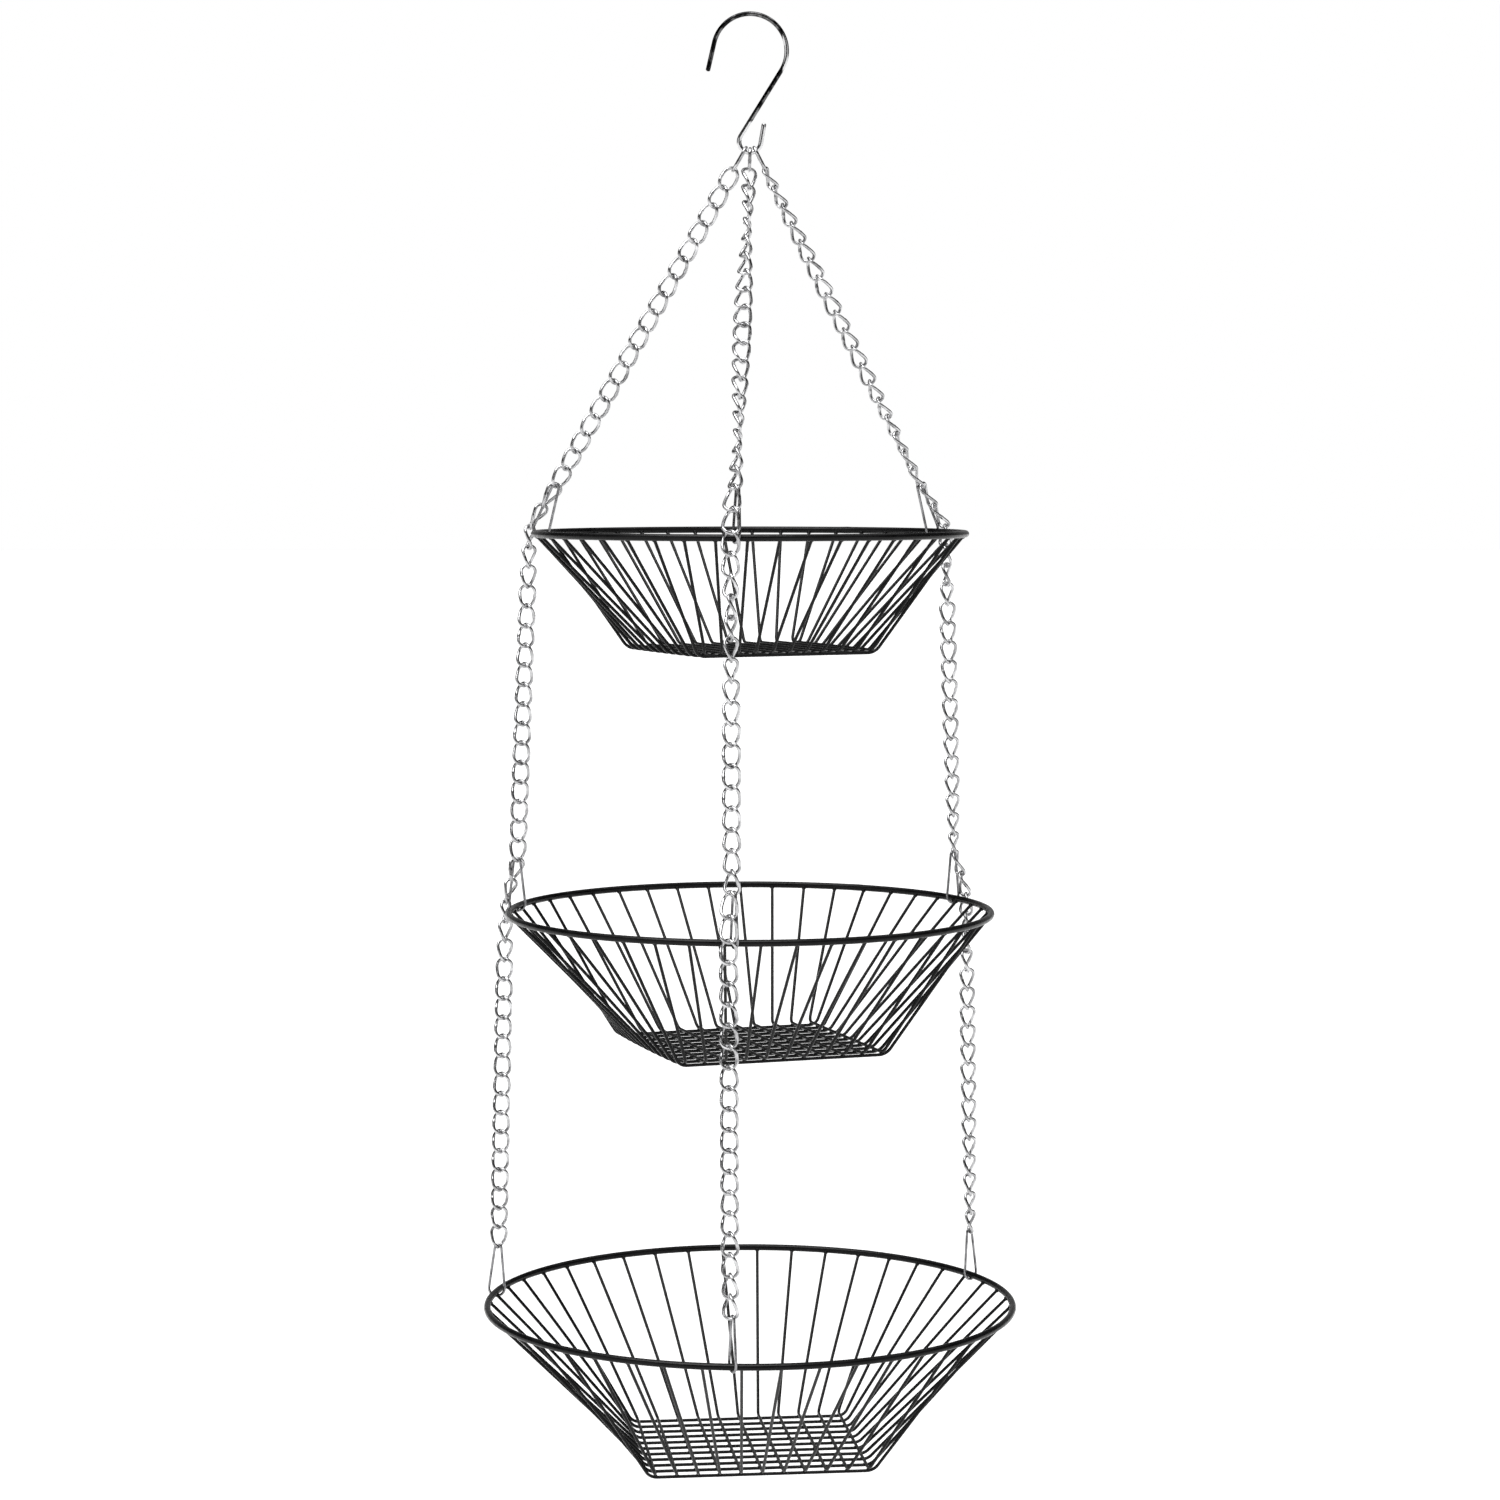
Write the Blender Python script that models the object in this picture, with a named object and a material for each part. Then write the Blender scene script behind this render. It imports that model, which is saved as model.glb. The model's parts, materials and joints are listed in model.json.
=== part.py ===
"""Three-tier hanging wire produce basket.

An S-shaped hook carries three chains. Each chain runs down past a small, a
medium and a large wire basket, and holds each rim with a wire clip. Lengths
are in metres and angles in degrees. The origin is the inside top of the hook,
where the basket hangs from its support, +Z is up and the front is at -Y.
"""

import math
from typing import NamedTuple

import bmesh
import bpy
from mathutils import Matrix, Vector

GAP = 0.0003  # left between neighbouring pieces
X_AXIS, Y_AXIS, Z_AXIS = Vector((1, 0, 0)), Vector((0, 1, 0)), Vector((0, 0, 1))

# hook, bent from one wire in the X-Z plane
HOOK_WIRE = 0.0026
HOOK_RADIUS = 0.0202  # large upper bend, to the wire's centre
HOOK_LOOP_RADIUS = 0.0060  # small lower loop
HOOK_SLANT = 32.0  # of the straight shank, from the vertical
HOOK_TIP_ANGLE = 167.0  # where the upper bend ends, about its centre from +X
HOOK_TIP_LENGTH = 0.016
HOOK_END_FLARE = 9.7
HOOK_END_LENGTH = 0.011

# chain
LINK_WIRE = 0.0017
LINK_LENGTH = 0.0133  # between the centres of the wire at both ends
LINK_WIDTH = 0.0076  # between the centres of the wire at both sides
CHAIN_THICKNESS = 0.0034  # a solid rod of the same weight as the links
CROWN_SPREAD = 32.0  # between neighbouring crown links, about the hook's loop
CROWN_PLAY = 0.0026  # from a crown link down to the chain below it
PIVOT_PLAY = 0.0006  # from a chain's pivot to the end of its rod
CLIP_PLAY = 0.0035  # the same where a rod swings beside the apex of a clip
CHAINS = {"front": -4.0, "left": -102.0, "right": 119.0}  # azimuth from -Y towards +X

# clip, a closed wire loop that stands in the upright plane of its chain
CLIP_WIRE = 0.0015
CLIP_HEIGHT = 0.0270  # from the rim's centre up to the clip's apex
CLIP_HALF_WIDTH = 0.0045
CLIP_APEX_RADIUS = 0.0019

# baskets
RIM_WIRE = 0.0038
RIB_WIRE = 0.0018
RIBS_EACH_WAY = 11
BEND_RADIUS = 0.0070
BASE_REACH = 0.0030  # how far a rib runs past the outermost rib that it crosses before it bends up
WELD_WIDTH = 0.0012
WELD_SINK = 0.0005  # how deep a weld goes into each of its two ribs

ROUND_STEPS = 8  # sides of a thick wire
THIN_STEPS = 6  # sides of a thin wire


class Tier(NamedTuple):
    name: str
    rim_height: float
    rim_radius: float  # to the centre of the rim's wire
    base_half: float  # from the middle of the square base to its outermost ribs
    depth: float
    turn: float  # of the square base about +Z
    clip_lean: float  # of the clip's apex, outwards from the rim


TOP = Tier("top", -0.2839, 0.1197, 0.0500, 0.0650, 24.0, -0.0090)
MIDDLE = Tier("middle", -0.4955, 0.1349, 0.0570, 0.0750, 18.9, 0.0)
BOTTOM = Tier("bottom", -0.7178, 0.1481, 0.0590, 0.0820, 6.5, -0.0010)

CHAIN_RADIUS = CHAIN_THICKNESS / 2
CHAIN_CLEARANCE = CLIP_WIRE / 2 + GAP + CHAIN_RADIUS  # from a clip's wire to the chain beside it
HOOK_CENTRE = Vector((0, 0, -(HOOK_RADIUS - HOOK_WIRE / 2)))


# ---------------------------------------------------------------- geometry

def outward(azimuth):
    """Level direction that points away from the vertical axis."""
    angle = math.radians(azimuth)
    return Vector((math.sin(angle), -math.cos(angle), 0))


def rim_point(tier, azimuth, out, up):
    """Point beside the rim's centre line, in the upright plane of an azimuth."""
    return outward(azimuth) * (tier.rim_radius + out) + Z_AXIS * (tier.rim_height + up)


def arc(centre, right, up, radius, start, end, steps):
    """Points on an arc from the angle start to the angle end, both included."""
    points = []
    for step in range(steps + 1):
        angle = math.radians(start + (end - start) * step / steps)
        points.append(centre + (right * math.cos(angle) + up * math.sin(angle)) * radius)
    return points


def belt(low, low_radius, high, high_radius, side, steps):
    """Closed loop round two circles: two arcs and the two straight legs between them."""
    along = high - low
    lift = math.degrees(math.asin((low_radius - high_radius) / along.length))
    up = along.normalized()
    lower = arc(low, side, up, low_radius, -180 - lift, lift, steps)
    upper = arc(high, side, up, high_radius, lift, 180 - lift, steps)
    return lower + upper


def with_round_corners(corners, radius):
    """Open path with each inner corner cut to the ends of its bend."""
    path = [corners[0]]
    for before, corner, after in zip(corners, corners[1:], corners[2:]):
        back, ahead = (before - corner).normalized(), (after - corner).normalized()
        tangent = radius * math.tan((math.pi - back.angle(ahead)) / 2)
        path += [corner + back * tangent, corner + ahead * tangent]
    return path + [corners[-1]]


def sweep(shape, path, thickness, sides, closed=False):
    """Adds a round wire along a path to a bmesh, mitred at every point."""
    count = len(path)
    edges = [path[(i + 1) % count] - path[i] for i in range(count if closed else count - 1)]
    across = edges[0].orthogonal().normalized()
    rings = []
    for i, point in enumerate(path):
        before = edges[i - 1] if closed or i else edges[0]
        after = edges[i] if i < len(edges) else edges[-1]
        before, after = before.normalized(), after.normalized()
        tangent = (before + after).normalized()
        across = (across - tangent * across.dot(tangent)).normalized()
        other = tangent.cross(across)
        fold = before.cross(after)
        stretch = 1 / max(before.dot(tangent), 0.5)
        miter = fold.normalized().cross(tangent) if fold.length > 1e-6 else None
        ring = []
        for side in range(sides):
            angle = 2 * math.pi * side / sides
            offset = (across * math.cos(angle) + other * math.sin(angle)) * (thickness / 2)
            if miter:
                offset += miter * offset.dot(miter) * (stretch - 1)
            ring.append(shape.verts.new(point + offset))
        rings.append(ring)
    for i in range(count if closed else count - 1):
        near, far = rings[i], rings[(i + 1) % count]
        shift = nearest_turn(near, far, edges[i]) if closed and i == count - 1 else 0
        for side in range(sides):
            after = (side + 1) % sides
            ahead = far[(after + shift) % sides], far[(side + shift) % sides]
            shape.faces.new((near[side], near[after], *ahead))
    if not closed:
        shape.faces.new(rings[0][::-1])
        shape.faces.new(rings[-1])


def nearest_turn(near, far, edge):
    """How many sides the last ring of a closed wire is turned against the first."""
    start = near[0].co + edge
    return min(range(len(far)), key=lambda side: (far[side].co - start).length)


# ---------------------------------------------------------------- materials

def metal(name, colour, roughness, metallic):
    material = bpy.data.materials.new(name)
    material.use_nodes = True
    shader = material.node_tree.nodes["Principled BSDF"]
    shader.inputs["Base Color"].default_value = (*colour, 1)
    shader.inputs["Roughness"].default_value = roughness
    shader.inputs["Metallic"].default_value = metallic
    return material


# ---------------------------------------------------------------- assembly

def pivot(name, place, parent=None):
    """Empty on a joint's axis, which carries the pieces that turn together."""
    empty = bpy.data.objects.new(name, None)
    bpy.context.collection.objects.link(empty)
    attach(empty, Matrix.Translation(place), parent)
    return empty


def attach(item, world, parent):
    item.parent = parent
    item.matrix_world = world
    if parent:
        item.matrix_parent_inverse = parent.matrix_world.inverted()
        item.matrix_basis = world
        bpy.context.view_layer.update()


def piece(name, shape, material, parent, place=None):
    """Object made of a finished bmesh whose points are given in the frame of place."""
    mesh = bpy.data.meshes.new(name)
    bmesh.ops.recalc_face_normals(shape, faces=shape.faces)
    shape.to_mesh(mesh)
    shape.free()
    mesh.shade_smooth()
    mesh.set_sharp_from_angle(angle=math.radians(60))
    mesh.materials.append(material)
    item = bpy.data.objects.new(name, mesh)
    bpy.context.collection.objects.link(item)
    attach(item, place or Matrix.Identity(4), parent)
    return item


def wire_piece(name, path, thickness, sides, material, parent, closed=False):
    """Piece made of one wire, with its origin at its parent's pivot, or at the world's without a parent."""
    origin = parent.matrix_world.translation if parent else Vector()
    shape = bmesh.new()
    sweep(shape, [point - origin for point in path], thickness, sides, closed)
    return piece(name, shape, material, parent, Matrix.Translation(origin))


# ---------------------------------------------------------------- hook and crown

def hook_loop_centre():
    """Centre of the small loop, straight below the middle of the large bend."""
    slant = math.radians(HOOK_SLANT)
    shank_top = HOOK_CENTRE + Vector((math.cos(slant), 0, -math.sin(slant))) * HOOK_RADIUS
    run = (shank_top.x + HOOK_LOOP_RADIUS * math.cos(slant)) / math.sin(slant)
    drop = run * math.cos(slant) + HOOK_LOOP_RADIUS * math.sin(slant)
    return Vector((0, 0, shank_top.z - drop))


def hook_path():
    slant_end = 180 - HOOK_SLANT
    bend = arc(HOOK_CENTRE, X_AXIS, Z_AXIS, HOOK_RADIUS, HOOK_TIP_ANGLE, -HOOK_SLANT, 18)
    loop = arc(hook_loop_centre(), X_AXIS, Z_AXIS, HOOK_LOOP_RADIUS, slant_end, 360 - HOOK_END_FLARE, 10)
    tip_turn, flare = math.radians(HOOK_TIP_ANGLE), math.radians(HOOK_END_FLARE)
    tip = bend[0] + Vector((-math.sin(tip_turn), 0, math.cos(tip_turn))) * HOOK_TIP_LENGTH
    end = loop[-1] + Vector((math.sin(flare), 0, math.cos(flare))) * HOOK_END_LENGTH
    return [tip, *bend, *loop, end]


def crown_line(name):
    """Point on the loop's wire that holds a crown link, and the direction of its chain."""
    turn = math.radians({"left": -CROWN_SPREAD, "front": 0, "right": CROWN_SPREAD}[name])
    seat = hook_loop_centre() + Vector((math.sin(turn), 0, -math.cos(turn))) * HOOK_LOOP_RADIUS
    bend, _ = beside_clip(TOP, CHAINS[name])
    return seat, (bend - seat).normalized()


def crown_link_path(name):
    seat, along = crown_line(name)
    side = (Y_AXIS - along * along.y).normalized()
    end = seat - along * (HOOK_WIRE / 2 + GAP + LINK_WIRE / 2)
    half = LINK_WIDTH / 2
    return belt(end + along * (LINK_LENGTH - half), half, end + along * half, half, side, 6)


def crown_link_foot(name):
    seat, along = crown_line(name)
    return seat + along * (LINK_LENGTH - HOOK_WIRE / 2 - GAP - LINK_WIRE / 2)


# ---------------------------------------------------------------- tiers

def clip_apex(tier, azimuth):
    return rim_point(tier, azimuth, tier.clip_lean, CLIP_HEIGHT)


def clip_axes(tier, azimuth):
    """Centres of a clip's lower and upper bend, and the directions along it and across it."""
    rest = -(RIM_WIRE / 2 + GAP + CLIP_WIRE / 2)
    low = rim_point(tier, azimuth, 0, rest + CLIP_HALF_WIDTH)
    apex = clip_apex(tier, azimuth)
    up = (apex - low).normalized()
    side = (outward(azimuth) - up * up.dot(outward(azimuth))).normalized()
    return low, apex - up * CLIP_APEX_RADIUS, up, side


def clip_path(tier, azimuth):
    """Narrow loop that passes under the rim and closes round a chain link above it."""
    low, high, _, side = clip_axes(tier, azimuth)
    return belt(low, CLIP_HALF_WIDTH, high, CLIP_APEX_RADIUS, side, 5)


def beside_clip(tier, azimuth):
    """Where a chain that goes on down starts to run along a clip's outer leg, and where it passes the rim."""
    low, high, up, side = clip_axes(tier, azimuth)
    lift = math.asin((CLIP_HALF_WIDTH - CLIP_APEX_RADIUS) / (high - low).length)
    beside = side * math.cos(lift) + up * math.sin(lift)
    bend = high + beside * (CLIP_APEX_RADIUS + CHAIN_CLEARANCE)
    foot = low + beside * (CLIP_HALF_WIDTH + CHAIN_CLEARANCE)
    down, out = (foot - bend).normalized(), outward(azimuth)
    reach = tier.rim_radius + CLIP_HALF_WIDTH + CHAIN_CLEARANCE - bend.dot(out)
    return bend, bend + down * (reach / down.dot(out))


def rib_pitch(tier):
    return 2 * tier.base_half / (RIBS_EACH_WAY - 1)


def rib_path(tier, number, height):
    """One U-shaped rib along local X: up from the rim's left, over the base and back up."""
    offset = number - (RIBS_EACH_WAY - 1) / 2
    turn = math.radians(offset * 90 / RIBS_EACH_WAY)
    foot = Vector((tier.base_half + BASE_REACH, offset * rib_pitch(tier), height))
    rim = Vector((math.cos(turn), math.sin(turn), 0)) * tier.rim_radius
    slope = (rim - foot).normalized()
    tip = rim - slope * (RIM_WIRE / 2 + RIB_WIRE / 2 + GAP)
    mirrored = [Vector((-point.x, point.y, point.z)) for point in (tip, foot)]
    return with_round_corners([*mirrored, foot, tip], BEND_RADIUS)


def basket_ribs(tier, material, parent):
    """Two crossing sets of ribs, joined by welds where the middle rib of each set crosses the other."""
    lower = -tier.depth
    upper = lower + RIB_WIRE + GAP
    quarter_turn = Matrix.Rotation(math.radians(90), 4, "Z")
    ribs = bmesh.new()
    for number in range(RIBS_EACH_WAY):
        sweep(ribs, rib_path(tier, number, lower), RIB_WIRE, THIN_STEPS)
        crossing = [quarter_turn @ point for point in rib_path(tier, number, upper)]
        sweep(ribs, crossing, RIB_WIRE, THIN_STEPS)
    middle, pitch = (RIBS_EACH_WAY - 1) / 2, rib_pitch(tier)
    welds = bmesh.new()
    for number in range(RIBS_EACH_WAY):
        place = (number - middle) * pitch
        for spot in {(place, 0), (0, place)}:
            add_weld(welds, Vector((*spot, (lower + upper) / 2)))
    place = Matrix.Translation((0, 0, tier.rim_height)) @ Matrix.Rotation(math.radians(tier.turn), 4, "Z")
    cage = piece(f"{tier.name}_basket_ribs", ribs, material, parent, place)
    joints = piece(f"{tier.name}_welds", welds, material, parent, place)
    joints.hide_render, joints.display_type = True, "WIRE"
    union = cage.modifiers.new("welds", "BOOLEAN")
    union.operation, union.object, union.solver = "UNION", joints, "EXACT"


def add_weld(shape, centre):
    """Small block that reaches into the rib below and the rib above."""
    height = GAP + 2 * WELD_SINK
    size = Matrix.Diagonal((WELD_WIDTH, WELD_WIDTH, height, 1))
    bmesh.ops.create_cube(shape, size=1, matrix=Matrix.Translation(centre) @ size)


def basket_rim(tier, material, parent):
    centre = Z_AXIS * tier.rim_height
    count = 4 * RIBS_EACH_WAY
    turns = [tier.turn + 360 * number / count for number in range(count)]
    path = [centre + outward(turn) * tier.rim_radius for turn in turns]
    wire_piece(f"{tier.name}_rim", path, RIM_WIRE, ROUND_STEPS, material, parent, closed=True)


def basket(tier, black, chrome, parent):
    basket_rim(tier, black, parent)
    basket_ribs(tier, black, parent)
    for name, azimuth in CHAINS.items():
        path = clip_path(tier, azimuth)
        wire_piece(f"{tier.name}_clip_{name}", path, CLIP_WIRE, THIN_STEPS, chrome, parent, closed=True)


def chain(name, path, chrome, parent):
    wire_piece(name, path, CHAIN_THICKNESS, THIN_STEPS, chrome, parent)


def shortened(start, end, by_start, by_end):
    along = (end - start).normalized()
    return [start + along * by_start, end - along * by_end]


def hanging_run(tier, above, name, azimuth, chrome, parent):
    """Chain from the pivot at the rim above down to the clip of this tier."""
    _, start = beside_clip(above, azimuth)
    last = tier is BOTTOM
    end = clip_apex(tier, azimuth) if last else beside_clip(tier, azimuth)[0]
    end_play = CLIP_WIRE / 2 + GAP if last else CLIP_PLAY
    swing = pivot(f"{tier.name}_swing_{name}", start, parent)
    chain(f"{tier.name}_chain_{name}", shortened(start, end, PIVOT_PLAY, end_play), chrome, swing)
    return swing, end


def build():
    for old in list(bpy.data.objects):
        bpy.data.objects.remove(old)
    black = metal("black_powder_coat", (0.012, 0.012, 0.013), 0.32, 0.0)
    chrome = metal("bright_chain", (0.62, 0.63, 0.64), 0.18, 1.0)
    steel = metal("polished_hook", (0.42, 0.42, 0.43), 0.14, 1.0)

    hook_wire = hook_path()
    wire_piece("hanging_hook", hook_wire, HOOK_WIRE, ROUND_STEPS, steel, None)

    crown = pivot("crown_pivot", hook_loop_centre())
    for name in CHAINS:
        path = crown_link_path(name)
        wire_piece(f"crown_link_{name}", path, LINK_WIRE, THIN_STEPS, chrome, crown, closed=True)

    top = pivot("top_tier_pivot", Z_AXIS * crown_link_foot("front").z, crown)
    for name, azimuth in CHAINS.items():
        _, along = crown_line(name)
        start = crown_link_foot(name) + along * (LINK_WIRE / 2 + CROWN_PLAY)
        last = shortened(*beside_clip(TOP, azimuth), 0, PIVOT_PLAY)
        chain(f"top_chain_{name}", [start, *last], chrome, top)
    basket(TOP, black, chrome, top)

    above, parent = TOP, top
    for tier in (MIDDLE, BOTTOM):
        runs = {}
        for name, azimuth in CHAINS.items():
            runs[name] = hanging_run(tier, above, name, azimuth, chrome, parent)
        swing, foot = runs["front"]
        tier_pivot = pivot(f"{tier.name}_tier_pivot", foot, swing)
        basket(tier, black, chrome, tier_pivot)
        if tier is MIDDLE:
            for name, azimuth in CHAINS.items():
                path = shortened(*beside_clip(tier, azimuth), PIVOT_PLAY, PIVOT_PLAY)
                chain(f"middle_chain_tail_{name}", path, chrome, tier_pivot)
        above, parent = tier, tier_pivot


build()
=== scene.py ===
"""Looks of the three-tier hanging wire produce basket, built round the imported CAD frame.

Lengths are in metres and angles in degrees. The origin is the inside top of the
hook, +Z is up and the front is at -Y.
"""

import json
import math
import random

import bpy
from mathutils import Matrix, Vector


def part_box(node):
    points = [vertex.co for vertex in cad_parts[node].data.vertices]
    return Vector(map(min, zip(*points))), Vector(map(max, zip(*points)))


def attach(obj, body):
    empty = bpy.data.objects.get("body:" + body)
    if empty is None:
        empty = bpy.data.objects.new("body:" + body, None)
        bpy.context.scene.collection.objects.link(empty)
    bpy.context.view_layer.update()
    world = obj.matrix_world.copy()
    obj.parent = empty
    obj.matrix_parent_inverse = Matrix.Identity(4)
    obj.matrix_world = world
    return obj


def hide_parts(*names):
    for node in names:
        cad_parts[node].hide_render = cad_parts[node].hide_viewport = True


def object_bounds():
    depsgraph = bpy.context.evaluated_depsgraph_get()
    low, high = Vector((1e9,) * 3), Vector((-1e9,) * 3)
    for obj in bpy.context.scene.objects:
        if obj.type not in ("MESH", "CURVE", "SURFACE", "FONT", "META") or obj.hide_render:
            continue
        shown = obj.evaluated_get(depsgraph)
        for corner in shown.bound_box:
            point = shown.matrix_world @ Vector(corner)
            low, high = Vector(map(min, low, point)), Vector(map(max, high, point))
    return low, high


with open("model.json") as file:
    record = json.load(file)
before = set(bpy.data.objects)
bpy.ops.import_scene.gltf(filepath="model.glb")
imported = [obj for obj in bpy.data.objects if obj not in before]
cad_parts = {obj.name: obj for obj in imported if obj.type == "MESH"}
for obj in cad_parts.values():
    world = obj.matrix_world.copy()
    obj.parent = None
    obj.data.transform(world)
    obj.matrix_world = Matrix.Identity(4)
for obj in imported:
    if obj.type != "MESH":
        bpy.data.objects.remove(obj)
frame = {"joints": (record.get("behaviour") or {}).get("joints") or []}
cad_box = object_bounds()

X_AXIS, Y_AXIS, Z_AXIS = Vector((1, 0, 0)), Vector((0, 1, 0)), Vector((0, 0, 1))
PLACES = {joint["name"]: Vector(joint["pos_m"]) for joint in frame["joints"]}
SIDES = ("front", "left", "right")
TIERS = ("top", "middle", "bottom")

# hook
HOOK_WIRE = 0.0026
HOOK_RADIUS = 0.0202  # large upper bend, to the wire's centre
HOOK_LOOP_RADIUS = 0.0060
HOOK_SLANT = 32.0  # of the shank, from the vertical
HOOK_TIP_ANGLE = 167.0  # where the large bend runs out into the tip, from +X
HOOK_TIP_LENGTH = 0.0152
HOOK_END_FLARE = 9.7  # of the straight end after the loop, from the vertical
HOOK_END_LENGTH = 0.0104
HOOK_STEPS = {"tip": 8, "bend": 72, "shank": 16, "loop": 40, "end": 6, "dome": 5}
DOME_HEIGHT = 0.7  # of the cut ends, as a share of the wire's radius
DOME_GAP = 0.4  # in steps, from a dome's last ring to its top
# side of the large bend, and the loop: an axis, and the soft edge past which the hook is painted
# light, a painted reflection and not wear
HOOK_PAINTED_REFLECTION = [("X", 0.0165, 0.0196), ("Z", -0.0550, -0.0600)]
UNREFLECTED_SHARE = 0.7  # of the patches' strength, on the dark plating away from the painted reflection

# chain
LINK_WIRE = 0.0018
LINK_PITCH = 0.0113
LINK_WIDTH = 0.0085  # between the centres of the wire at both sides
LINK_TWIST = 86.0  # from one end of a link to the other
LINK_STEPS = {"end": 12, "side": 8}
CROWN_LINK_WIDTH = 0.0076
CROWN_TURN = {"front": 0, "left": -32.0, "right": 32.0}  # about the hook's loop
WELD_SWELL = 0.16  # of a link's wire, as a share of its radius
WELD_REACH = 0.45  # of the swelling along the link, in wires
WELD_SIDE = 0.49  # in widths: points farther than this from a link's middle are on a straight side
CHAIN_SIDESTEP = -0.0013  # of the chain past a clip, along the rim
CLIP_SIDESTEP = 0.0012  # of the clip itself, the other way
PIVOT_GAP = 0.0003  # between the two links that turn on each other at a joint
RIM_ROLL = 0.0  # of the first link outside a rim, which lies flat against it
RIM_ROLL_REACH = 4  # in links, to where the rim's effect on the roll ends
ROLL_SCATTER = 4
# roll of the links from the rim's direction, for the upper, middle and bottom stretch of a chain:
# at the start of the stretch, at its end, and a swell between
ROLLS = {
    "front": [(-45, -315, 0), (45, 225, 0), (45, 45, -38)],
    "left": [(80, 50, 26), (45, 45, 50), (45, 45, 42)],
    "right": [(20, 45, -52), (45, 45, 44), (45, 45, 36)],
}

# clip
CLIP_WIRE = 0.0015
CLIP_HALF_WIDTH = 0.0045  # at the rim, to the wire's centre
CLIP_APEX_RADIUS = 0.0019
CLIP_HEIGHT = 0.0270  # of the apex above the rim's centre
CLIP_LEAN = {"top": -0.0090, "middle": 0.0, "bottom": -0.0010}  # of the apex, outwards
CLIP_TURN = {"front": 28.0, "left": 8.0, "right": 12.0}  # about its length, out of the rim's radius
CLIP_STEPS = {"bend": 20, "leg": 8}

# baskets
RIB_WIRE = 0.0018
RIBS_EACH_WAY = 11
MIDDLE_RIB = (RIBS_EACH_WAY - 1) / 2
BEND_RADIUS, BEND_STEPS = 0.0070, 8
BASE_REACH = 0.0030  # of a rib past the outermost rib that it crosses
BASE_HALF = {"top": 0.0500, "middle": 0.0570, "bottom": 0.0590}
BASE_PITCH = {tier: 2 * BASE_HALF[tier] / (RIBS_EACH_WAY - 1) for tier in TIERS}
BASE_TURN = {"top": 24.0, "middle": 18.9, "bottom": 6.5}
LAYER_STEP = 0.00165  # from the lower to the upper ribs, pressed together by the welding
RIB_END = 0.35  # of a rib, inwards from the rim's centre in rim wires, so inside the rim's wire
COLLAR_PLACE = 0.52  # of the weld there, in the same measure
COLLAR_HALF = (0.00135, 0.0009)  # half sizes of that weld, across and along the rib
CROSSING_HALF = (0.00115, 0.0009)  # half sizes of a weld in the base, level and upright
RIM_STEPS = 240
RIM_SEAM_AZIMUTH = 152.0
RIM_SEAM_SWELL, RIM_SEAM_REACH = 0.00014, 0.0022

# all wires
FACETS = {"hook": 20, "link": 12, "clip": 12, "rim": 18, "rib": 10}  # round the wire
SHARP_ANGLE = 50.0  # between faces that aren't shaded as one round surface
NOISE_RANGE = (0.3, 0.7)  # where most of a noise texture's values lie

# studio
CAMERA_SENSOR, CAMERA_LENS = 36.0, 88.2  # in millimetres
CAMERA_PLACE = (0, -2.045, -0.2449)
CAMERA_PITCH = 4.464  # downwards
BACKDROP_LIGHT = 1.0
SUN_LIGHT, SUN_SPREAD = 3.6, 50.0
SUN_TILT = (16, -12)  # about X and Y
FLOOR_DROP, FLOOR_REACH = 0.45, 40.0
# light from each side: 0 and 1 are the back, 0.25 is the left, 0.5 the front and 0.75 the right
SIDE_LIGHT = [
    (0.00, 0.45), (0.08, 0.30), (0.14, 0.02), (0.27, 0.02), (0.31, 1.30), (0.39, 1.10),
    (0.42, 0.03), (0.56, 0.02), (0.60, 0.75), (0.66, 0.85), (0.70, 0.02), (0.86, 0.03),
    (0.92, 0.30), (1.00, 0.45),
]
# light from above: 0 is the horizon and 1 straight overhead
OVERHEAD_LIGHT = [(0.30, 0.02), (0.66, 0.02), (0.74, 0.9), (0.90, 1.0), (0.97, 0.1)]
OVERHEAD_BLEND = (0.22, 0.42)  # heights between which it takes over from the sides


# ---------------------------------------------------------------- measures from the frame

def rim_measures(tier):
    """Height, radius to the wire's centre and wire thickness of a rim."""
    low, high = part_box(f"{tier}_rim")
    wire = high.z - low.z
    return (low.z + high.z) / 2, (high.x - low.x) / 2 - wire / 2, wire


def base_height(tier):
    """Height of the centre of a basket's lower ribs."""
    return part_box(f"{tier}_basket_ribs")[0].z + RIB_WIRE / 2


def outward(azimuth):
    """Level direction from the axis to the rim. Azimuth 0 is the front and 90 the right."""
    angle = math.radians(azimuth)
    return Vector((math.sin(angle), -math.cos(angle), 0))


def azimuth_of(point):
    return math.degrees(math.atan2(point.x, -point.y))


RIMS = {tier: rim_measures(tier) for tier in TIERS}
AZIMUTHS = {side: azimuth_of(PLACES[f"middle_sway_{side}"]) for side in SIDES}
LOOP_CENTRE = PLACES["crown_side_swing"]


# ---------------------------------------------------------------- wire geometry

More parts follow.
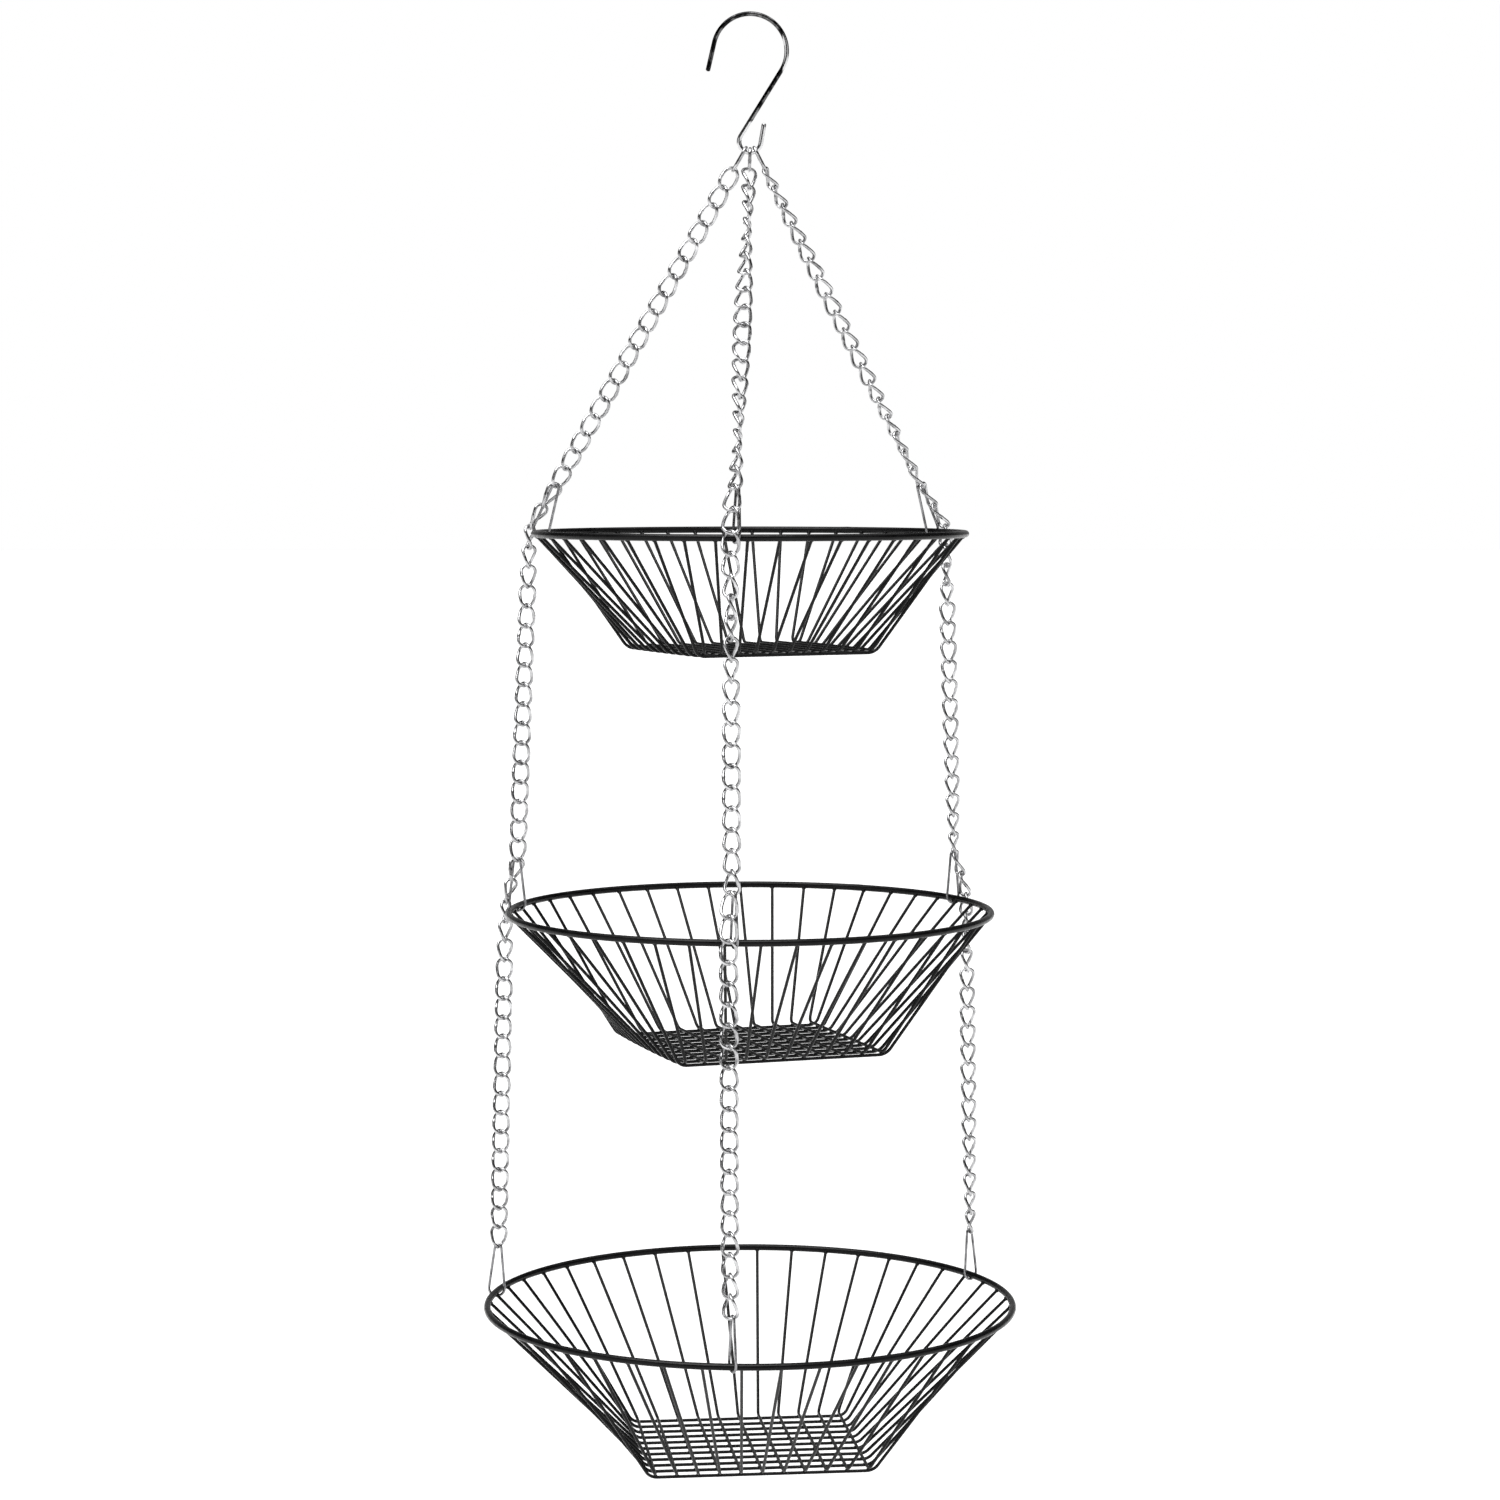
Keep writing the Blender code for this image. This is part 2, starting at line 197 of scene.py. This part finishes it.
class Wires:
    """Collects round wires, beads and their faces for one mesh."""

    def __init__(self):
        self.points, self.faces = [], []

    def tube(self, path, radii, sides, closed=False):
        """Round wire along a path. radii is one number or one for each point."""
        count = len(path)
        if isinstance(radii, float):
            radii = [radii] * count
        tangents = path_tangents(path, closed)
        normals = steady_normals(path, tangents, closed)
        first = len(self.points)
        for point, radius, tangent, normal in zip(path, radii, tangents, normals):
            other = tangent.cross(normal)
            for side in range(sides):
                angle = 2 * math.pi * side / sides
                way = normal * math.cos(angle) + other * math.sin(angle)
                self.points.append(point + way * radius)
        for i in range(count if closed else count - 1):
            near, far = first + i * sides, first + (i + 1) % count * sides
            for side in range(sides):
                after = (side + 1) % sides
                self.faces.append((near + side, near + after, far + after, far + side))
        if not closed:
            self.faces.append(tuple(range(first + sides - 1, first - 1, -1)))
            last = first + (count - 1) * sides
            self.faces.append(tuple(range(last, last + sides)))

    def bead(self, centre, axes, sides=10, rings=6):
        """Ellipsoid with three half axes, given as vectors."""
        first = len(self.points)
        self.points.append(centre - axes[2])
        for ring in range(1, rings):
            tilt = math.pi * ring / rings
            for side in range(sides):
                angle = 2 * math.pi * side / sides
                level = (axes[0] * math.cos(angle) + axes[1] * math.sin(angle)) * math.sin(tilt)
                self.points.append(centre + level - axes[2] * math.cos(tilt))
        top = len(self.points)
        self.points.append(centre + axes[2])
        for side in range(sides):
            after = (side + 1) % sides
            self.faces.append((first, first + 1 + after, first + 1 + side))
            for ring in range(rings - 2):
                near = first + 1 + ring * sides
                far = near + sides
                self.faces.append((near + side, near + after, far + after, far + side))
            self.faces.append((top, top - sides + side, top - sides + after))

    def piece(self, name, material, body, nodes):
        """Finished object that rides on a body and stands for CAD nodes."""
        mesh = bpy.data.meshes.new(name)
        mesh.from_pydata(self.points, [], self.faces)
        mesh.validate()
        mesh.shade_smooth()
        mesh.set_sharp_from_angle(angle=math.radians(SHARP_ANGLE))
        mesh.materials.append(material)
        item = add_object(name, mesh)
        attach(item, body)
        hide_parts(*nodes)


def add_object(name, data):
    item = bpy.data.objects.new(name, data)
    bpy.context.scene.collection.objects.link(item)
    return item


def path_tangents(path, closed):
    count, tangents = len(path), []
    for i in range(count):
        before = path[i - 1] if closed or i else path[i]
        after = path[(i + 1) % count] if closed or i < count - 1 else path[i]
        tangents.append((after - before).normalized())
    return tangents


def steady_normals(path, tangents, closed):
    """Normals that turn as little as possible along a path, and meet where it is closed."""
    normal = tangents[0].orthogonal().normalized()
    normals = [normal]
    for tangent in tangents[1:]:
        normal = (normal - tangent * normal.dot(tangent)).normalized()
        normals.append(normal)
    if closed:
        start, tangent = normals[0], tangents[0]
        end = (normal - tangent * normal.dot(tangent)).normalized()
        miss = math.atan2(tangent.dot(end.cross(start)), end.dot(start))
        for i in range(len(path)):
            turn = Matrix.Rotation(miss * i / len(path), 3, tangents[i])
            normals[i] = turn @ normals[i]
    return normals


def arc(centre, right, up, radius, start, end, steps):
    """Points along an arc, with both ends. Angles run from right towards up."""
    points = []
    for step in range(steps + 1):
        angle = math.radians(start + (end - start) * step / steps)
        points.append(centre + (right * math.cos(angle) + up * math.sin(angle)) * radius)
    return points


def straight(start, end, steps):
    """Points between two ends, without the ends."""
    return [start.lerp(end, step / steps) for step in range(1, steps)]


def bent(corners, radius, steps):
    """Path through corners with every inner corner rounded to an arc."""
    path = [corners[0]]
    for before, corner, after in zip(corners, corners[1:], corners[2:]):
        back, ahead = (before - corner).normalized(), (after - corner).normalized()
        turn = math.pi - back.angle(ahead)
        run = radius * math.tan(turn / 2)
        centre = corner + (back + ahead).normalized() * (radius / math.cos(turn / 2))
        first = corner + back * run - centre
        last = corner + ahead * run - centre
        for step in range(steps + 1):
            share = step / steps
            leaving = math.sin((1 - share) * turn) / math.sin(turn)
            coming = math.sin(share * turn) / math.sin(turn)
            path.append(centre + first * leaving + last * coming)
    return path + [corners[-1]]


def belt(low, low_radius, high, high_radius, side, bend_steps, leg_steps):
    """Closed loop round two circles, with points along its straight legs too."""
    along = high - low
    lift = math.degrees(math.asin((low_radius - high_radius) / along.length))
    up = along.normalized()
    lower = arc(low, side, up, low_radius, -180 - lift, lift, bend_steps)
    upper = arc(high, side, up, high_radius, lift, 180 - lift, bend_steps)
    one_leg = straight(lower[-1], upper[0], leg_steps)
    other_leg = straight(upper[-1], lower[0], leg_steps)
    return lower + one_leg + upper + other_leg


# ---------------------------------------------------------------- materials

class Nodes:
    """Builds the node tree of a material or a world."""

    def __init__(self, owner):
        owner.use_nodes = True
        self.tree = owner.node_tree

    def feed(self, node, inputs):
        """Set a node's inputs, each to a value or to another node's output."""
        for socket, value in inputs.items():
            if isinstance(value, bpy.types.NodeSocket):
                self.tree.links.new(value, node.inputs[socket])
            else:
                node.inputs[socket].default_value = value

    def add(self, kind, inputs=None):
        """New node of a kind, with its inputs set."""
        node = self.tree.nodes.new(f"ShaderNode{kind}")
        self.feed(node, inputs or {})
        return node

    def combine(self, operation, first, second):
        node = self.add("Math", {0: first, 1: second})
        node.operation = operation
        return node.outputs["Value"]

    def span(self, value, start, end, low=0.0, high=1.0, interpolation="LINEAR"):
        """What lies between start and end, brought to between low and high."""
        node = self.add("MapRange", {
            "Value": value, "From Min": start, "From Max": end, "To Min": low, "To Max": high})
        node.interpolation_type = interpolation
        return node.outputs["Result"]

    def ramp(self, factor, stops):
        """Colours along a factor, each with its position."""
        node = self.add("ValToRGB", {"Fac": factor})
        while len(node.color_ramp.elements) < len(stops):
            node.color_ramp.elements.new(0.5)
        for element, (position, colour) in zip(node.color_ramp.elements, stops):
            element.position = position
            element.color = (*colour, 1)
        return node.outputs["Color"]


class Shade(Nodes):
    """Material whose patterns lie in its object's own coordinates, in metres."""

    def __init__(self, name):
        self.material = bpy.data.materials.new(name)
        super().__init__(self.material)
        self.place = self.add("TexCoord").outputs["Object"]

    def noise(self, scale, detail=2.0, roughness=0.5, stretch=None):
        place = self.place
        if stretch:
            place = self.add("Mapping", {"Vector": place, "Scale": stretch}).outputs["Vector"]
        node = self.add("TexNoise", {
            "Vector": place, "Scale": scale, "Detail": detail, "Roughness": roughness})
        return node.outputs["Fac"]

    def spread(self, noise, low, high):
        """Noise spread over the range from low to high."""
        return self.span(noise, *NOISE_RANGE, low, high)

    def past(self, axis, start, end):
        """0 on one side of a place along an axis and 1 on the other, with a soft edge."""
        axes = self.add("SeparateXYZ", {"Vector": self.place})
        return self.span(axes.outputs[axis], start, end, interpolation="SMOOTHSTEP")

    def bump(self, height, strength, distance, under=None):
        """Relief, on top of the relief under it."""
        node = self.add("Bump", {"Height": height, "Strength": strength, "Distance": distance})
        if under:
            self.feed(node, {"Normal": under})
        return node.outputs["Normal"]

    def finished(self, inputs):
        """The material, once its shader has these inputs."""
        self.feed(self.tree.nodes["Principled BSDF"], inputs)
        return self.material


def greys(stops):
    """Stops of a ramp, made from positions and how light they are."""
    return [(position, (light,) * 3) for position, light in stops]


def powder_coat():
    """Gloss black powder coat with a slight orange peel, a trace greyer in patches."""
    shade = Shade("black_powder_coat")
    patches = shade.noise(scale=70, detail=4)
    gloss = shade.noise(scale=240, detail=3)
    grain = shade.bump(shade.noise(scale=1500), strength=0.12, distance=0.0003)
    peel = shade.bump(shade.noise(scale=420, detail=1), strength=0.10, distance=0.0006, under=grain)
    dark, light = (0.002, 0.002, 0.0021), (0.006, 0.006, 0.0064)
    return shade.finished({
        "Base Color": shade.ramp(patches, [(0.35, dark), (0.68, light)]),
        "Roughness": shade.spread(gloss, 0.20, 0.34),
        "Normal": peel,
        "Specular IOR Level": 0.14,
    })


def plated(name, patches, dark, light, smooth, rough, scratch, painted_reflection=()):
    """Plated steel wire with dull patches, so many to a metre, and fine drawing lines.

    Each entry of the last argument names an axis and the soft edge past which the dark plating is
    painted bright, a painted reflection rather than wear.
    """
    shade = Shade(name)
    tone = shade.noise(scale=patches, detail=5, roughness=0.6)
    # painted reflection: past each soft edge the tone is lifted to the light end of the ramp,
    # whatever the lamps do
    if painted_reflection:
        tone = shade.combine("MULTIPLY", tone, UNREFLECTED_SHARE)
    for axis, start, end in painted_reflection:
        tone = shade.combine("MAXIMUM", tone, shade.past(axis, start, end))
    gloss = shade.noise(scale=380, detail=4, roughness=0.6)
    drawn = shade.noise(scale=900, detail=3, roughness=0.7, stretch=(1, 1, 0.12))
    lines = shade.bump(drawn, strength=scratch, distance=0.0002)
    waves = shade.bump(shade.noise(scale=260), strength=0.08, distance=0.0004, under=lines)
    return shade.finished({
        "Base Color": shade.ramp(tone, [(0.32, dark), (0.66, light)]),
        "Roughness": shade.spread(gloss, smooth, rough),
        "Normal": waves,
        "Metallic": 1.0,
    })


def backdrop_paper():
    shade = Shade("pale_backdrop")
    return shade.finished({
        "Base Color": shade.ramp(shade.noise(scale=3), greys([(0.3, 0.90), (0.7, 0.93)])),
        "Roughness": 0.95,
        "Specular IOR Level": 0.1,
    })


# ---------------------------------------------------------------- hook

def make_hook(steel):
    tip_turn, flare = math.radians(HOOK_TIP_ANGLE), math.radians(HOOK_END_FLARE)
    centre = Z_AXIS * (HOOK_WIRE / 2 - HOOK_RADIUS)
    bend = arc(centre, X_AXIS, Z_AXIS, HOOK_RADIUS, HOOK_TIP_ANGLE, -HOOK_SLANT, HOOK_STEPS["bend"])
    loop = arc(LOOP_CENTRE, X_AXIS, Z_AXIS, HOOK_LOOP_RADIUS,
               180 - HOOK_SLANT, 360 - HOOK_END_FLARE, HOOK_STEPS["loop"])
    tip_way = Vector((-math.sin(tip_turn), 0, math.cos(tip_turn)))
    end_way = Vector((math.sin(flare), 0, math.cos(flare)))
    tip = bend[0] + tip_way * HOOK_TIP_LENGTH
    end = loop[-1] + end_way * HOOK_END_LENGTH
    path = [tip, *straight(tip, bend[0], HOOK_STEPS["tip"]), *bend,
            *straight(bend[-1], loop[0], HOOK_STEPS["shank"]), *loop,
            *straight(loop[-1], end, HOOK_STEPS["end"]), end]
    path, radii = with_round_ends(path, HOOK_WIRE / 2, HOOK_STEPS["dome"])
    hook = Wires()
    hook.tube(path, radii, FACETS["hook"])
    hook.piece("hook_wire", steel, "hook", ["hanging_hook"])


def with_round_ends(path, radius, steps):
    """Path and radii of a wire whose cut ends are domed."""
    def dome(point, away):
        spots = []
        for step in range(1, steps + 1):
            angle = math.pi / 2 * step / (steps + DOME_GAP)
            height = radius * DOME_HEIGHT * math.sin(angle)
            spots.append((point + away * height, radius * math.cos(angle)))
        return spots
    start = dome(path[0], (path[0] - path[1]).normalized())
    end = dome(path[-1], (path[-1] - path[-2]).normalized())
    points = [point for point, _ in reversed(start)] + path + [point for point, _ in end]
    radii = [size for _, size in reversed(start)] + [radius] * len(path) + [size for _, size in end]
    return points, radii


# ---------------------------------------------------------------- chains

def rim_way(azimuth):
    """Level direction along a rim, towards larger azimuths."""
    angle = math.radians(azimuth)
    return Vector((math.cos(angle), math.sin(angle), 0))


def clip_centres(tier, azimuth):
    """Centres of a clip's lower and upper bend and the direction across it."""
    height, radius, wire = RIMS[tier]
    out = outward(azimuth)
    low = out * radius + Z_AXIS * (height - wire / 2 - CLIP_WIRE / 2 + CLIP_HALF_WIDTH)
    apex = out * (radius + CLIP_LEAN[tier]) + Z_AXIS * (height + CLIP_HEIGHT)
    up = (apex - low).normalized()
    side = (out - up * up.dot(out)).normalized()
    return low, apex - up * CLIP_APEX_RADIUS, up, side


def link_seat(tier, azimuth):
    """Where the link above a clip carries the next link, with its wire inside the clip's apex."""
    _, high, up, _ = clip_centres(tier, azimuth)
    return high + up * (CLIP_APEX_RADIUS - CLIP_WIRE / 2 - LINK_WIRE / 2) + Z_AXIS * LINK_WIRE / 2


def link_outline(half, width):
    """Points of a link laid flat, across and along it: two half circles and two straight sides."""
    bend, straight_half = width / 2, half - width / 2
    end_steps, side_steps = LINK_STEPS["end"], LINK_STEPS["side"]
    ends = [math.pi * step / end_steps for step in range(end_steps + 1)]
    sides = [straight_half * (1 - 2 * step / side_steps) for step in range(1, side_steps)]
    outline = [(bend * math.cos(turn), straight_half + bend * math.sin(turn)) for turn in ends]
    outline += [(-bend, height) for height in sides]
    outline += [(-bend * math.cos(turn), -straight_half - bend * math.sin(turn)) for turn in ends]
    return outline + [(bend, -height) for height in sides]


def add_link(wires, start, end, level, roll, weld_side, width=LINK_WIDTH, twist=LINK_TWIST):
    """Oval link, twisted about its length, whose end wires lie just outside start and end."""
    along = (end - start).normalized()
    half = ((end - start).length + LINK_WIRE) / 2
    centre = (start + end) / 2
    level = (level - along * along.dot(level)).normalized()
    path, radii = [], []
    for across, height in link_outline(half, width):
        turn = math.radians(roll + twist * height / (2 * half))
        path.append(centre - along * height + Matrix.Rotation(turn, 3, along) @ level * across)
        welded = across * weld_side > width * WELD_SIDE
        swell = math.exp(-((height / (LINK_WIRE * WELD_REACH)) ** 2)) if welded else 0
        radii.append(LINK_WIRE / 2 * (1 + WELD_SWELL * swell))
    wires.tube(path, radii, FACETS["link"], closed=True)


def contacts(start, end):
    """Points at an even pitch along a straight run, where one link holds the next."""
    count = round((end - start).length / LINK_PITCH)
    return [start.lerp(end, number / count) for number in range(count + 1)]


def lay_links(side, stretch, chrome, runs):
    """Links along straight runs, each given as a piece's name, a body, a CAD node and two ends."""
    start_roll, end_roll, swell = ROLLS[side][stretch]
    level = rim_way(AZIMUTHS[side])
    dice = random.Random(f"{side} {stretch}")
    spots = [contacts(start, end) for _, _, _, start, end in runs]
    total = sum(len(run) - 1 for run in spots)
    beyond_rim = len(spots[0]) - 1
    number = 0
    for (name, body, node, _, _), run in zip(runs, spots):
        wires = Wires()
        for before, after in zip(run, run[1:]):
            share = (number + 0.5) / total
            roll = start_roll + (end_roll - start_roll) * share + swell * math.sin(math.pi * share)
            if len(runs) > 1:
                at_rim = max(0.0, 1 - abs(number - beyond_rim) / RIM_ROLL_REACH)
                roll += (RIM_ROLL - roll) * at_rim
            roll += dice.uniform(-ROLL_SCATTER, ROLL_SCATTER)
            add_link(wires, before, after, level, roll, weld_side=dice.choice((-1, 1)))
            number += 1
        wires.piece(f"{name}_{side}", chrome, body, [node])


def make_chain(side, chrome):
    """One chain: crown link, run to the top clip, past the top rim, and on to the bottom clip."""
    azimuth = AZIMUTHS[side]
    turn = math.radians(CROWN_TURN[side])
    hook_seat = LOOP_CENTRE + Vector((math.sin(turn), 0, -math.cos(turn))) * HOOK_LOOP_RADIUS
    seats = {tier: link_seat(tier, azimuth) for tier in TIERS}
    along = (seats["top"] - hook_seat).normalized()
    along = Vector((along.x, 0, along.z))
    crown_top = hook_seat - along.normalized() * HOOK_WIRE / 2
    crown_foot = crown_top + along * (PLACES["crown_fore_aft_swing"].z - crown_top.z) / along.z
    crown = Wires()
    add_link(crown, crown_top, crown_foot, Y_AXIS, roll=0, weld_side=1,
             width=CROWN_LINK_WIDTH, twist=0)
    crown.piece(f"crown_ring_{side}", chrome, "crown", [f"crown_link_{side}"])

    start = crown_foot - Z_AXIS * PIVOT_GAP
    lay_links(side, 0, chrome, [
        ("upper_links", "top_tier", f"top_chain_{side}", start, seats["top"])])
    sidestep = rim_way(azimuth) * CHAIN_SIDESTEP
    for stretch, (above, below) in enumerate(zip(TIERS, TIERS[1:]), 1):
        rim_pass = PLACES[f"{below}_sway_{side}"] + sidestep
        tail = f"top_chain_{side}" if above == "top" else f"middle_chain_tail_{side}"
        hanging = f"{below}_chain_{side}"
        lay_links(side, stretch, chrome, [
            (f"{above}_rim_links", f"{above}_tier", tail, seats[above] + sidestep, rim_pass),
            (f"{below}_run_links", hanging, hanging, rim_pass - Z_AXIS * PIVOT_GAP, seats[below]),
        ])


def make_clip(tier, side, zinc):
    azimuth = AZIMUTHS[side]
    low, high, up, across = clip_centres(tier, azimuth)
    across = Matrix.Rotation(math.radians(CLIP_TURN[side]), 3, up) @ across
    sidestep = rim_way(azimuth) * CLIP_SIDESTEP
    path = belt(low + sidestep, CLIP_HALF_WIDTH, high + sidestep, CLIP_APEX_RADIUS, across,
                CLIP_STEPS["bend"], CLIP_STEPS["leg"])
    wires = Wires()
    wires.tube(path, CLIP_WIRE / 2, FACETS["clip"], closed=True)
    name, body, node = f"{tier}_rim_clip_{side}", f"{tier}_tier", f"{tier}_clip_{side}"
    wires.piece(name, zinc, body, [node])


# ---------------------------------------------------------------- baskets

def make_rim(tier, black):
    height, radius, wire = RIMS[tier]
    path, radii = [], []
    for step in range(RIM_STEPS):
        azimuth = 360 * step / RIM_STEPS
        path.append(Z_AXIS * height + outward(azimuth) * radius)
        away = math.radians(azimuth - RIM_SEAM_AZIMUTH) * radius
        radii.append(wire / 2 + RIM_SEAM_SWELL * math.exp(-((away / RIM_SEAM_REACH) ** 2)))
    wires = Wires()
    wires.tube(path, radii, FACETS["rim"], closed=True)
    wires.piece(f"{tier}_rim_ring", black, f"{tier}_tier", [f"{tier}_rim"])


def rib_corners(tier, number, height):
    """Corners of one U-shaped rib along local X. The legs at one end share a quarter of the rim."""
    rim_height, radius, _ = RIMS[tier]
    offset = number - MIDDLE_RIB
    turn = math.radians(offset * 90 / RIBS_EACH_WAY)
    foot = Vector((BASE_HALF[tier] + BASE_REACH, offset * BASE_PITCH[tier], height))
    rim = Vector((math.cos(turn) * radius, math.sin(turn) * radius, rim_height))
    mirrored = [Vector((-point.x, point.y, point.z)) for point in (rim, foot)]
    return [*mirrored, foot, rim]


def make_ribs(tier, black):
    """Two crossing layers of ribs, with their welds."""
    lower = base_height(tier)
    _, _, rim_wire = RIMS[tier]
    body, node = f"{tier}_tier", [f"{tier}_basket_ribs"]
    for layer, height, turn in (("lower", lower, 0), ("upper", lower + LAYER_STEP, 90)):
        place = Matrix.Rotation(math.radians(BASE_TURN[tier] + turn), 3, "Z")
        wires = Wires()
        for number in range(RIBS_EACH_WAY):
            corners = [place @ corner for corner in rib_corners(tier, number, height)]
            start, end = corners[0], corners[-1]
            tips = [(corners[1] - start).normalized(), (corners[-2] - end).normalized()]
            corners[0] = start + tips[0] * rim_wire * RIB_END
            corners[-1] = end + tips[1] * rim_wire * RIB_END
            wires.tube(bent(corners, BEND_RADIUS, BEND_STEPS), RIB_WIRE / 2, FACETS["rib"])
            for rim_spot, inward in zip((start, end), tips):
                weld_collar(wires, rim_spot + inward * rim_wire * COLLAR_PLACE, inward)
        wires.piece(f"{tier}_ribs_{layer}", black, body, node)
    make_base_welds(tier, lower, black)


def weld_collar(wires, centre, along):
    """Small fillet of weld and coating where a rib meets the rim."""
    side = along.orthogonal().normalized()
    other = along.cross(side)
    across, lengthwise = COLLAR_HALF
    wires.bead(centre, (side * across, other * across, along * lengthwise))


def make_base_welds(tier, lower, black):
    """Swelling at every crossing of the base."""
    place = Matrix.Rotation(math.radians(BASE_TURN[tier]), 3, "Z")
    offsets = [(number - MIDDLE_RIB) * BASE_PITCH[tier] for number in range(RIBS_EACH_WAY)]
    level, upright = CROSSING_HALF
    axes = (X_AXIS * level, Y_AXIS * level, Z_AXIS * upright)
    wires = Wires()
    for y in offsets:
        for x in offsets:
            wires.bead(place @ Vector((x, y, lower + LAYER_STEP / 2)), axes, sides=8, rings=5)
    name, body, node = f"{tier}_base_welds", f"{tier}_tier", f"{tier}_basket_ribs"
    wires.piece(name, black, body, [node])


# ---------------------------------------------------------------- studio

def studio_world():
    """White backdrop to the eye; softboxes and dark flags to everything that reflects."""
    world = bpy.data.worlds.new("studio")
    nodes = Nodes(world)
    way = nodes.add("TexCoord").outputs["Generated"]
    axes = nodes.add("SeparateXYZ", {"Vector": way})
    east, north, height = (axes.outputs[name] for name in "XYZ")
    azimuth = nodes.combine("ARCTAN2", east, nodes.combine("MULTIPLY", north, -1.0))
    turn = nodes.combine("ADD", nodes.combine("DIVIDE", azimuth, 2 * math.pi), 0.5)
    mix = nodes.add("Mix")
    mix.data_type = "RGBA"
    nodes.feed(mix, {
        "Factor": nodes.span(height, *OVERHEAD_BLEND),
        "A": nodes.ramp(turn, greys(SIDE_LIGHT)),
        "B": nodes.ramp(height, greys(OVERHEAD_LIGHT)),
    })

    lighting = nodes.add("Background", {"Color": mix.outputs["Result"]})
    backdrop = nodes.add("Background", {"Color": (1, 1, 1, 1), "Strength": BACKDROP_LIGHT})
    seen = nodes.add("MixShader", {
        "Fac": nodes.add("LightPath").outputs["Is Camera Ray"],
        1: lighting.outputs["Background"],
        2: backdrop.outputs["Background"],
    })
    nodes.feed(nodes.tree.nodes["World Output"], {"Surface": seen.outputs["Shader"]})
    bpy.context.scene.world = world


def soft_sun():
    light = bpy.data.lights.new("overhead_sun", "SUN")
    light.energy = SUN_LIGHT
    light.angle = math.radians(SUN_SPREAD)
    item = add_object("overhead_sun", light)
    item.rotation_euler = (*map(math.radians, SUN_TILT), 0)


def make_floor():
    level, reach = cad_box[0][2] - FLOOR_DROP, FLOOR_REACH
    mesh = bpy.data.meshes.new("floor")
    corners = [(-reach, -reach), (reach, -reach), (reach, reach), (-reach, reach)]
    mesh.from_pydata([(x, y, level) for x, y in corners], [], [(0, 1, 2, 3)])
    mesh.materials.append(backdrop_paper())
    floor = add_object("floor", mesh)


def make_camera():
    camera = bpy.data.cameras.new("camera")
    camera.sensor_width = CAMERA_SENSOR
    camera.lens = CAMERA_LENS
    item = add_object("camera", camera)
    item.location = CAMERA_PLACE
    item.rotation_euler = (math.radians(90 - CAMERA_PITCH), 0, 0)
    bpy.context.scene.camera = item


# ---------------------------------------------------------------- assembly

make_camera()
studio_world()
soft_sun()
make_floor()
bpy.context.scene.view_settings.view_transform = "Standard"

black = powder_coat()
# the hook's light stretches down the side of its bend and round its loop are a painted reflection
steel = plated("polished_hook_steel", patches=130,
               dark=(0.010, 0.010, 0.0105), light=(0.60, 0.60, 0.605),
               smooth=0.09, rough=0.20, scratch=0.05, painted_reflection=HOOK_PAINTED_REFLECTION)
chrome = plated("chain_plating", patches=150, dark=(0.25, 0.25, 0.254), light=(0.68, 0.68, 0.69),
                smooth=0.14, rough=0.32, scratch=0.08)
zinc = plated("clip_plating", patches=160, dark=(0.10, 0.10, 0.102), light=(0.36, 0.36, 0.37),
              smooth=0.16, rough=0.34, scratch=0.12)

make_hook(steel)
for side in SIDES:
    make_chain(side, chrome)
for tier in TIERS:
    make_rim(tier, black)
    make_ribs(tier, black)
    for side in SIDES:
        make_clip(tier, side, zinc)
